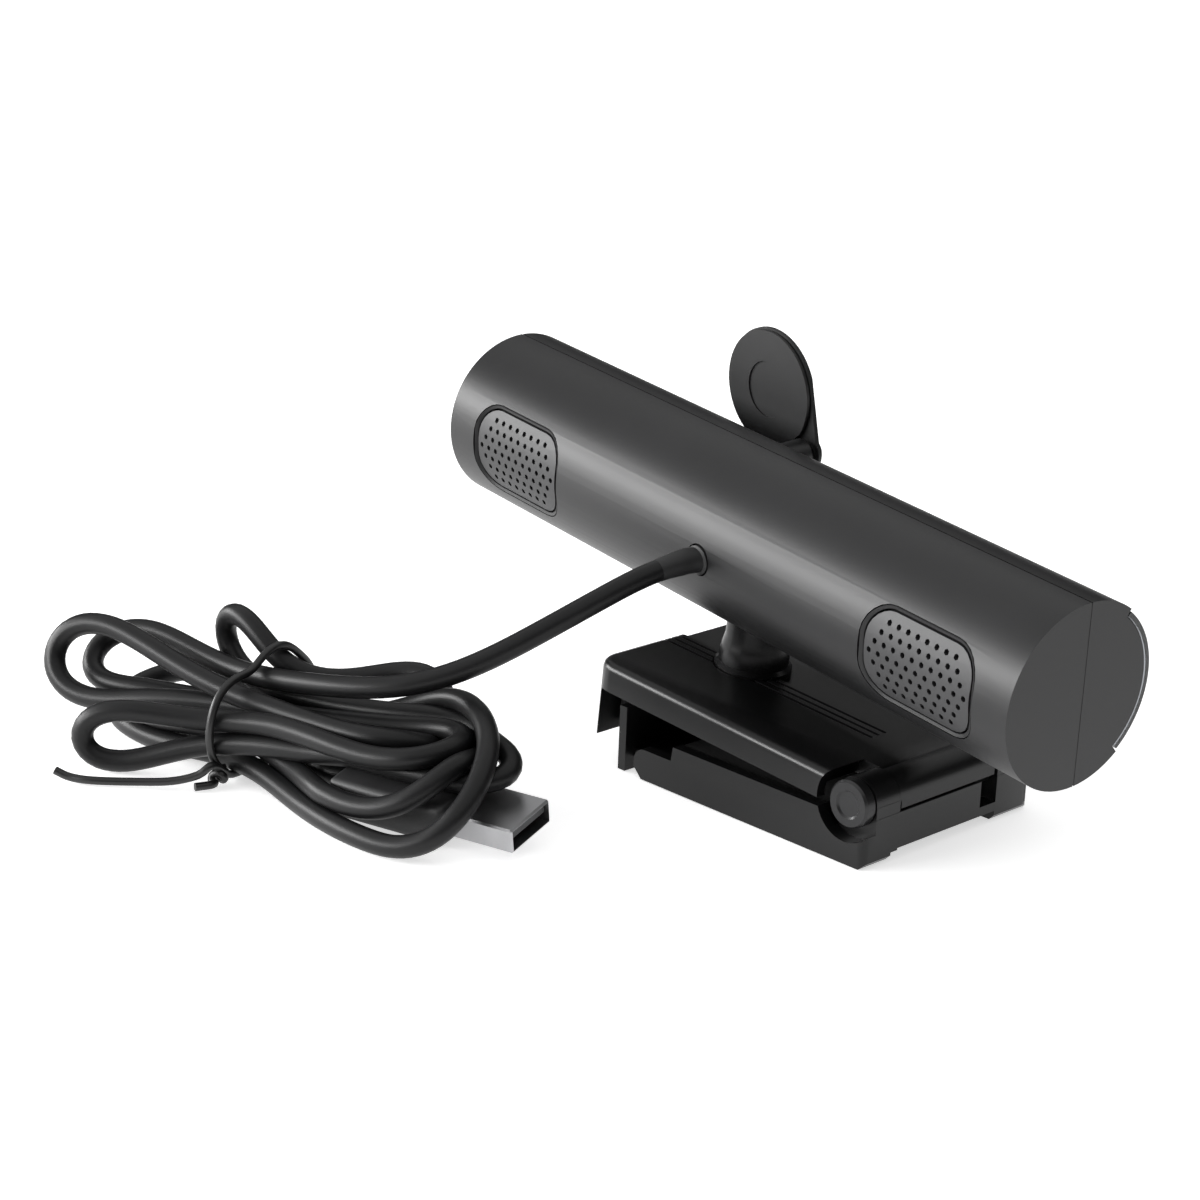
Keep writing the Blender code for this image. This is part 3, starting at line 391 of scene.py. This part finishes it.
def glass(name, colour, roughness=0.03):
    """Clear or tinted glass or plastic, with slow changes of tint and gloss."""
    nodes = Nodes(name)
    slow = nodes.noise(200.0, 2.0)
    tint = tuple(min(1.0, c * 1.2) for c in colour)
    nodes.link(nodes.ramp(slow, ((0.2, colour), (0.9, tint))), nodes.shader.inputs["Base Color"])
    nodes.link(nodes.span(slow, roughness, roughness + 0.03), nodes.shader.inputs["Roughness"])
    nodes.set(Transmission_Weight=1.0, IOR=1.5)
    return nodes


def board(name):
    """Green solder mask with lighter copper tracks under it."""
    nodes = Nodes(name)
    brick = nodes.add("ShaderNodeTexBrick")
    brick.inputs["Scale"].default_value = 260.0
    brick.inputs["Mortar Size"].default_value = 0.03
    brick.inputs["Color1"].default_value = (0.006, 0.05, 0.022, 1.0)
    brick.inputs["Color2"].default_value = (0.008, 0.07, 0.03, 1.0)
    brick.inputs["Mortar"].default_value = (0.03, 0.13, 0.05, 1.0)
    nodes.link(nodes.place, brick.inputs["Vector"])
    nodes.link(brick.outputs["Color"], nodes.shader.inputs["Base Color"])
    nodes.link(nodes.bump(brick.outputs["Fac"], 0.3, 0.00003), nodes.shader.inputs["Normal"])
    nodes.set(Roughness=0.35)
    return nodes


def make_finishes():
    """Every finish by name."""
    satin = moulded("shell_satin", (0.0085, 0.0085, 0.009), 0.42)
    satin.set(Specular_IOR_Level=0.4)
    grille = moulded("grille_satin", (0.021, 0.021, 0.022), 0.5)
    clip = moulded("clip_satin", (0.0035, 0.0035, 0.0037), 0.3, 7000.0)
    clip.set(Specular_IOR_Level=0.33)
    cover = moulded("cover_fine_grain", (0.013, 0.013, 0.0133), 0.52, 5000.0, 0.00004)
    cover.set(Specular_IOR_Level=0.32)
    neck = moulded("neck_gloss", (0.004, 0.004, 0.0042), 0.26, 9000.0, 0.000006)
    neck.set(Specular_IOR_Level=0.16)
    bezel = moulded("bezel_gloss", (0.01, 0.01, 0.011), 0.2, 9000.0, 0.000004)
    holder = moulded("holder_matt", (0.02, 0.02, 0.02), 0.6)
    paper = rubber("speaker_cone", (0.03, 0.03, 0.032), 0.75, 2500.0)
    gland = rubber("gland_rubber", (0.010, 0.010, 0.0105), 0.55)
    pad = rubber("pad_rubber", (0.010, 0.010, 0.010), 0.72)
    jacket = rubber("cable_jacket", (0.006, 0.006, 0.0063), 0.4, 2600.0)
    jacket.set(Specular_IOR_Level=0.24)
    mould = rubber("overmould_rubber", (0.013, 0.013, 0.0135), 0.5)
    wire = moulded("tie_coating", (0.006, 0.006, 0.006), 0.4, 5000.0)
    bright = steel("plug_steel", (0.42, 0.42, 0.43), 0.32, 900.0, (0.04, 1.0, 1.0))
    turned = steel("turned_steel", (0.5, 0.5, 0.51), 0.3)
    dark_steel = steel("black_steel", (0.035, 0.035, 0.036), 0.3)
    dark_steel.set(Metallic=0.7)
    can = steel("mic_can", (0.62, 0.58, 0.46), 0.35)
    tongue = moulded("tongue_plastic", (0.03, 0.03, 0.032), 0.5)
    window = glass("window_smoked", (0.30, 0.31, 0.33), 0.12)
    lens = glass("lens_coated", (0.5, 0.6, 0.8))
    lens.set(Coat_Weight=1.0, Coat_Tint=(0.55, 0.45, 1.0, 1.0))
    chip = moulded("sensor_glass", (0.03, 0.04, 0.07), 0.08)
    led = glass("led_pipe", (0.75, 0.8, 0.9), 0.3)
    pcb = board("board_green")
    finishes = {
        "satin": satin, "grille": grille, "clip": clip, "cover": cover, "neck": neck, "bezel": bezel,
        "holder": holder, "paper": paper, "gland": gland, "pad": pad, "jacket": jacket, "mould": mould,
        "wire": wire, "bright": bright, "turned": turned, "dark_steel": dark_steel, "can": can,
        "tongue": tongue, "window": window, "lens": lens, "chip": chip, "led": led, "pcb": pcb,
    }
    return {name: nodes.material for name, nodes in finishes.items()}


# The finish of each CAD piece that isn't replaced
FINISH_OF = {
    "rear_shell": "satin", "front_shell": "satin", "front_window": "window", "grille_left": "grille",
    "grille_right": "grille", "speaker_left": "paper", "speaker_right": "paper", "main_board": "pcb",
    "sensor_board": "pcb", "image_sensor": "chip", "board_screw_left": "turned",
    "board_screw_right": "turned", "lens_holder": "holder", "lens_barrel": "holder", "lens_glass": "lens",
    "lens_bezel": "bezel", "mic_left": "can", "mic_right": "can", "status_led": "led",
    "cable_gland": "gland", "cover_boss": "satin", "cover_pin": "turned", "privacy_cover": "cover",
    "cover_backing": "cover", "neck_post": "neck", "swivel_screw": "turned", "swivel_washer": "turned",
    "clip_plate": "clip", "lip_pad": "pad", "plate_pad": "pad", "clip_leg": "clip", "leg_pad": "pad",
    "hinge_pin": "dark_steel", "pin_clip": "turned", "usb_shell": "bright", "usb_tongue": "tongue",
    "usb_overmould": "mould",
}


def finish_nodes(looks):
    """Give each CAD piece its finish."""
    for name, finish in FINISH_OF.items():
        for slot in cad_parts[name].material_slots:
            slot.material = looks[finish]


# Smooth shading

def smoothing_nodes():
    """Geometry nodes that weld a mesh's split corners and shade it smooth across shallow edges."""
    group = bpy.data.node_groups.new("smooth_by_angle", "GeometryNodeTree")
    group.interface.new_socket("Geometry", in_out="INPUT", socket_type="NodeSocketGeometry")
    group.interface.new_socket("Geometry", in_out="OUTPUT", socket_type="NodeSocketGeometry")
    start = group.nodes.new("NodeGroupInput")
    end = group.nodes.new("NodeGroupOutput")
    weld = group.nodes.new("GeometryNodeMergeByDistance")
    weld.inputs["Distance"].default_value = MERGE_DISTANCE
    faces = group.nodes.new("GeometryNodeSetShadeSmooth")
    faces.domain = "FACE"
    edges = group.nodes.new("GeometryNodeSetShadeSmooth")
    edges.domain = "EDGE"
    edges.inputs["Shade Smooth"].default_value = False
    angle = group.nodes.new("GeometryNodeInputMeshEdgeAngle")
    sharp = group.nodes.new("FunctionNodeCompare")
    sharp.operation = "GREATER_THAN"
    sharp.inputs["B"].default_value = SMOOTH_ANGLE
    group.links.new(start.outputs["Geometry"], weld.inputs["Geometry"])
    group.links.new(weld.outputs["Geometry"], faces.inputs["Geometry"])
    group.links.new(faces.outputs["Geometry"], edges.inputs["Geometry"])
    group.links.new(angle.outputs["Unsigned Angle"], sharp.inputs["A"])
    group.links.new(sharp.outputs["Result"], edges.inputs["Selection"])
    group.links.new(edges.outputs["Geometry"], end.inputs["Geometry"])
    return group


def smooth_by_angle(item):
    """Replace a mesh's stored normals by the smoothing nodes' own."""
    custom = item.data.attributes.get("custom_normal")
    if custom is not None:
        item.data.attributes.remove(custom)
    smoother = item.modifiers.new("smooth_by_angle", "NODES")
    smoother.node_group = SMOOTHING


# Pieces on the barrel and the clip

def barrel_frame():
    """The barrel's place in the row's frame, in millimetres, with x along the barrel and the lens at -y."""
    turn = Matrix.Rotation(TILT, 4, "Y") @ Matrix.Rotation(SWIVEL, 4, "Z") @ Matrix.Rotation(PITCH, 4, "X")
    return Matrix.Translation(BODY_CENTRE) @ turn


def barrel_point(point):
    """A point in the barrel's frame, in the row's frame, in millimetres."""
    return np.array(barrel_frame() @ Vector(point))


def mesh_piece(name, rows, close_rows, material, body="camera", place=None):
    """A mesh of closed loops of points: each row joins the next, and the last the first if close_rows."""
    place = barrel_frame() if place is None else place
    work = bmesh.new()
    loops = [[work.verts.new((place @ Vector(point)) * MM) for point in row] for row in rows]
    pairs = list(zip(loops, loops[1:]))
    if close_rows:
        pairs.append((loops[-1], loops[0]))
    for first, second in pairs:
        for index in range(len(first)):
            after = (index + 1) % len(first)
            work.faces.new((first[index], first[after], second[after], second[index]))
    if not close_rows:
        work.faces.new(loops[0][::-1])
        work.faces.new(loops[-1])
    bmesh.ops.recalc_face_normals(work, faces=work.faces)
    mesh = bpy.data.meshes.new(name)
    work.to_mesh(mesh)
    work.free()
    mesh.materials.append(material)
    item = bpy.data.objects.new(name, mesh)
    bpy.context.scene.collection.objects.link(item)
    smooth_by_angle(item)
    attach(item, body)
    return item


def rounded_rectangle(half_u, half_v, radius, count=14):
    """Points round a rectangle with round corners, each corner an arc of count steps."""
    points = []
    for quarter, (side_u, side_v) in enumerate(((1, 1), (-1, 1), (-1, -1), (1, -1))):
        for index in range(count + 1):
            angle = (quarter + index / count) * math.pi / 2
            points.append((side_u * (half_u - radius) + radius * math.cos(angle),
                           side_v * (half_v - radius) + radius * math.sin(angle)))
    return points


def make_grille_frame(name, side, material):
    """The sunk border round a grille, which slopes in from the barrel's surface."""
    rows = []
    for inset, radius in GRILLE_FRAME:
        outline = rounded_rectangle(GRILLE_HALF_X - inset, GRILLE_HALF_Z - inset, GRILLE_CORNER - inset)
        rows.append([(side * GRILLE_X + x, math.sqrt(radius * radius - z * z), z) for x, z in outline])
    frame_ring = mesh_piece(name, rows, True, material)


def make_end_weld(name, side, material):
    """The weld along the seam, at one end of the barrel."""
    corners = ((-WELD_HALF_WIDTH, -WELD_HALF_HEIGHT), (WELD_HALF_WIDTH, -WELD_HALF_HEIGHT),
               (WELD_HALF_WIDTH, WELD_HALF_HEIGHT), (-WELD_HALF_WIDTH, WELD_HALF_HEIGHT))
    rows = []
    for x in (BODY_HALF - WELD_DEPTH, BODY_HALF - WELD_SUNK):
        rows.append([(side * x, SEAM_Y + y, z) for y, z in corners])
    weld = mesh_piece(name, rows, False, material)


def make_window_tape(name, side, material):
    """The tape under the window's edge, at one end of the barrel."""
    rows = []
    for x in (BODY_HALF - TAPE_DEPTH, BODY_HALF - TAPE_SUNK):
        loop = []
        for radius, order in ((WINDOW_BACK_R, 1), (WINDOW_SHELF_R, -1)):
            for index in range(TAPE_STEPS + 1)[::order]:
                angle = TAPE_HALF_ANGLE * (2 * index / TAPE_STEPS - 1)
                loop.append((side * x, -radius * math.cos(angle), radius * math.sin(angle)))
        rows.append(loop)
    tape = mesh_piece(name, rows, False, material)


def make_hinge_fairing(material):
    """The hinge barrel's skirt, which carries its round face down to the leg's end wall."""
    rows = []
    for y in (HINGE_SPAN[0] + FAIRING_SHORT, HINGE_SPAN[1] - FAIRING_SHORT):
        rows.append([(HINGE[0] + x, y, HINGE[1] + z) for x, z in FAIRING_OUTLINE])
    fairing = mesh_piece("hinge_fairing", rows, False, material, "clip_plate", Matrix.Identity(4))


def make_details(looks):
    for name, side in (("left", -1), ("right", 1)):
        make_grille_frame(f"grille_frame_{name}", side, looks["satin"])
        make_end_weld(f"end_weld_{name}", side, looks["satin"])
        make_window_tape(f"window_tape_{name}", side, looks["pad"])
    make_hinge_fairing(looks["clip"])


# Cable

def hank_place(point):
    """A point in the hank's frame, in the row's frame, in millimetres."""
    along, across, up = point
    cosine, sine = math.cos(HANK_TURN), math.sin(HANK_TURN)
    x = HANK_PLACE[0] + along * cosine - across * sine
    y = HANK_PLACE[1] + along * sine + across * cosine
    return np.array((x, y, up))


def hank_local(points):
    """Points in the row's frame, in the hank's frame."""
    cosine, sine = math.cos(HANK_TURN), math.sin(HANK_TURN)
    x, y = points[:, 0] - HANK_PLACE[0], points[:, 1] - HANK_PLACE[1]
    return np.stack([x * cosine + y * sine, -x * sine + y * cosine, points[:, 2]], axis=1)


def plug_frame():
    turn = Matrix.Rotation(PLUG_TURN, 4, "Z") @ Matrix.Rotation(PLUG_ROLL, 4, "X")
    return np.array(Matrix.Translation(PLUG_MOUTH) @ turn)


def plug_point(x):
    """A point on the plug's axis, x out of the mouth."""
    place = plug_frame()
    return place[:3, :3] @ np.array((x, 0.0, 0.0)) + place[:3, 3]


def run_point(name):
    return hank_place((TIE_ALONG, *RUNS[name]))


def fold(start, end, tip, half_width, lean):
    """A teardrop fold from one run to the next: its limbs spread along one direction and meet at the tip."""
    first = np.array((TIE_ALONG, *RUNS[start]))
    last = np.array((TIE_ALONG, *RUNS[end]))
    tip = np.array(tip)
    side = np.array((0.0, math.cos(math.radians(lean)), math.sin(math.radians(lean))))
    points = []
    for index in range(1, FOLD_POINTS):
        turn = 2 * math.pi * index / FOLD_POINTS
        out = (1 - math.cos(turn)) / 2
        change = (1 - math.cos(turn / 2)) / 2
        foot = first * (1 - change) + last * change
        reach = out ** FOLD_TAPER
        spread = half_width * math.sin(turn) * out * FOLD_FULLNESS
        points.append(hank_place(foot * (1 - reach) + tip * reach + side * spread))
    return points


def cable_route():
    """The whole cable's knots: the lead, the folds of the hank, and the way into the plug."""
    knots = [np.array(point) for point in LEAD_ROUTE]
    knots.append(run_point(FOLDS[0][0]))
    for start, end, tip, half_width, lean in FOLDS:
        knots += fold(start, end, tip, half_width, lean)
        knots.append(run_point(end))
    knots.append(hank_place(PLUG_APPROACH))
    knots += [plug_point(-PLUG_LENGTH + x) for x in PLUG_ENTRY]
    return knots


def evenly_spaced(knots, step):
    """Points a step apart on a smooth curve (Catmull-Rom) through the knots."""
    knots = [2 * knots[0] - knots[1]] + list(knots) + [2 * knots[-1] - knots[-2]]
    dense = []
    for a, b, c, d in zip(knots, knots[1:], knots[2:], knots[3:]):
        for index in range(CURVE_POINTS):
            t = index / CURVE_POINTS
            dense.append(0.5 * (2 * b + (c - a) * t + (2 * a - 5 * b + 4 * c - d) * t * t
                                + (3 * b - a - 3 * c + d) * t ** 3))
    dense.append(knots[-2])
    dense = np.array(dense)
    lengths = np.concatenate(([0.0], np.cumsum(np.linalg.norm(np.diff(dense, axis=0), axis=1))))
    wanted = np.linspace(0.0, lengths[-1], round(lengths[-1] / step) + 1)
    return np.stack([np.interp(wanted, lengths, dense[:, k]) for k in range(3)], axis=1)


def push_apart(points, apart, near):
    """How far each point moves so that no two runs lie in each other."""
    offsets = points[:, None, :] - points[None, :, :]
    gaps = np.sqrt((offsets ** 2).sum(-1))
    gaps[near] = 1e9
    push = np.where(gaps < apart, (apart - gaps) / np.maximum(gaps, 1e-6) * 0.5, 0.0)
    return (offsets * push[..., None]).sum(1)


def even_bends(points):
    """How far each point moves to even out the bends."""
    wanted = (-points[:-4] + 4 * points[1:-3] + 4 * points[3:-1] - points[4:]) / 6
    move = np.zeros_like(points)
    move[2:-2] = wanted - points[2:-2]
    return move


def keep_length(points, step):
    """How far each point moves to keep its neighbours a step away."""
    legs = points[1:] - points[:-1]
    lengths = np.linalg.norm(legs, axis=1, keepdims=True)
    change = legs * (1 - step / np.maximum(lengths, 1e-6))
    move = np.zeros_like(points)
    move[:-1] += change
    move[1:] -= change
    return move


def clear_of_plug(points, free):
    """The points, with those inside the plug moved towards its nearest side."""
    turn, place = plug_frame()[:3, :3], plug_point(-PLUG_LENGTH / 2)
    half = np.array((PLUG_LENGTH / 2, PLUG_HALF_WIDTH, PLUG_HALF_HEIGHT)) + CABLE_D / 2
    local = (points - place) @ turn
    over = half - np.abs(local)
    for index in np.where((over > 0).all(1) & free)[0]:
        axis = int(np.argmin(over[index]))
        local[index, axis] += math.copysign(over[index, axis] * PLUG_PUSH, local[index, axis])
    return local @ turn.T + place


def clear_of_clip(points, free):
    """Move the low points out of the clip's sweep, about the swivel axis."""
    away = points[:, :2] - (SWIVEL_AXIS_X, 0.0)
    reach = np.linalg.norm(away, axis=1)
    inside = (reach < SWIVEL_REACH) & (points[:, 2] < SWIVEL_TOP) & free
    points[inside, :2] += away[inside] * ((SWIVEL_REACH / reach[inside] - 1) * SWIVEL_PUSH)[:, None]


def settle_cable(points):
    """Lay the runs beside and on each other, on the table, without stretching the cable."""
    points, target = points.copy(), points.copy()
    order = np.arange(len(points))
    near = np.abs(order[:, None] - order[None, :]) < math.ceil(NEIGHBOUR_LENGTH / STEP)
    free = (order >= LEAD_POINTS) & (order < len(points) - PLUG_POINTS)
    weight = free[:, None].astype(float)
    for index in range(SETTLE_STEPS):
        points += weight * push_apart(points, CABLE_D * STRAND_GAP, near) * APART_PUSH
        for _ in range(EASING_PASSES):
            points += weight * even_bends(points) * BEND_PULL
            points += weight * keep_length(points, STEP) * LENGTH_PULL
        pull = FIRM_PULL if index < SETTLE_STEPS * FIRM_SHARE else LOOSE_PULL
        points += weight * (target - points) * pull
        points = clear_of_plug(points, free)
        points[:, 2] += np.maximum(CABLE_D / 2 + TABLE_GAP - points[:, 2], 0.0) * TABLE_PUSH
        clear_of_clip(points, free)
    return points


def curve_piece(name, points, radii, material, sides):
    """A round piece on the camera's body, along points in millimetres, with a radius for each point."""
    curve = bpy.data.curves.new(name, "CURVE")
    curve.dimensions = "3D"
    curve.bevel_depth = 1.0  # the points' own radii then hold the real ones, in metres
    curve.bevel_resolution = sides
    curve.use_fill_caps = True
    spline = curve.splines.new("POLY")
    spline.points.add(len(points) - 1)
    for point, place, radius in zip(spline.points, points, radii):
        point.co = (*(v * MM for v in place), 1.0)
        point.radius = radius * MM
    spline.use_smooth = True
    curve.materials.append(material)
    item = bpy.data.objects.new(name, curve)
    bpy.context.scene.collection.objects.link(item)
    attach(item, "camera")
    return item


def make_boot(looks, line):
    """The short moulded sleeve where the cable leaves the barrel."""
    start = barrel_point((0.0, BODY_R - BOOT_SUNK, 0.0))
    points = [start] + list(line[:len(BOOT_SWELL) - 1])
    radii = [swell * CABLE_D / 2 for swell in BOOT_SWELL]
    boot = curve_piece("strain_relief", points, radii, looks["gland"], 8)
    return boot


def tie_ring(line):
    """The outline of what the tie holds, one wire radius out, as (across, up) in the hank's frame."""
    local = hank_local(line)
    held = local[np.abs(local[:, 0] - TIE_ALONG) < TIE_HALF_WIDTH][:, 1:]
    middle = (held.min(0) + held.max(0)) / 2
    ring = []
    for index in range(TIE_POINTS):
        angle = 2 * math.pi * index / TIE_POINTS - TIE_START
        way = np.array((math.cos(angle), math.sin(angle)))
        reach = ((held - middle) @ way).max() + CABLE_D / 2 + TIE_R
        ring.append(middle + way * reach)
    ring = np.array(ring)
    for _ in range(TIE_EASING_PASSES):
        ring = (np.roll(ring, 1, axis=0) + 2 * ring + np.roll(ring, -1, axis=0)) / 4
    ring[:, 1] = np.maximum(ring[:, 1], TIE_R)
    return ring


def make_tie(looks, ring):
    """A coated wire round the runs, with a long tail on the table."""
    points = [hank_place((TIE_ALONG, across, up)) for across, up in ring]
    points += [points[0]]
    points += [hank_place(point) for point in TIE_TAIL]
    smooth = evenly_spaced(points, TIE_STEP)
    tie = curve_piece("cable_tie", smooth, [TIE_R] * len(smooth), looks["wire"], 4)
    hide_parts("twist_tie")
    return tie


def make_knot(looks, foot):
    """The twist that closes the tie, with its short end, beside the ring's foot, as (across, up)."""
    across, up = foot
    points = []
    for index in range(KNOT_POINTS + 1):
        share = index / KNOT_POINTS
        angle = 2 * math.pi * KNOT_TURNS * share
        height = up - KNOT_DROP * share + KNOT_HALF_HEIGHT * math.cos(angle)
        points.append((TIE_ALONG + KNOT_START[0] + KNOT_HALF_WIDTH * math.sin(angle),
                       across + KNOT_START[1] + KNOT_LENGTH * share, max(TIE_R, height)))
    points.append((TIE_ALONG + STUB_BEND[0], across + STUB_BEND[1], max(STUB_HEIGHT, up + STUB_BEND[2])))
    points.append((TIE_ALONG + STUB_END[0], across + STUB_END[1], STUB_HEIGHT))
    smooth = evenly_spaced([hank_place(point) + np.array(SITE) for point in points], KNOT_STEP)
    knot = curve_piece("tie_knot", smooth, [TIE_R] * len(smooth), looks["wire"], 4)
    return knot


def make_cable(looks):
    """The cable with its sleeve, its tie and the plug on its end."""
    settled = settle_cable(evenly_spaced(cable_route(), STEP))
    line = evenly_spaced(list(settled), CABLE_STEP) + np.array(SITE)
    cable = curve_piece("usb_cable", line, [CABLE_D / 2] * len(line), looks["jacket"], 6)
    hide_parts("cable_hank", "cable_lead")
    ring = tie_ring(line)
    on_cable = [make_tie(looks, ring), make_knot(looks, ring[0]), make_boot(looks, line)]
    on_cable += [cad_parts[name] for name in PLUG_NODES]


make_camera()
make_studio()
make_floor()
SMOOTHING = smoothing_nodes()
LOOKS = make_finishes()
finish_nodes(LOOKS)
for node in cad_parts.values():
    smooth_by_angle(node)
make_details(LOOKS)
make_cable(LOOKS)
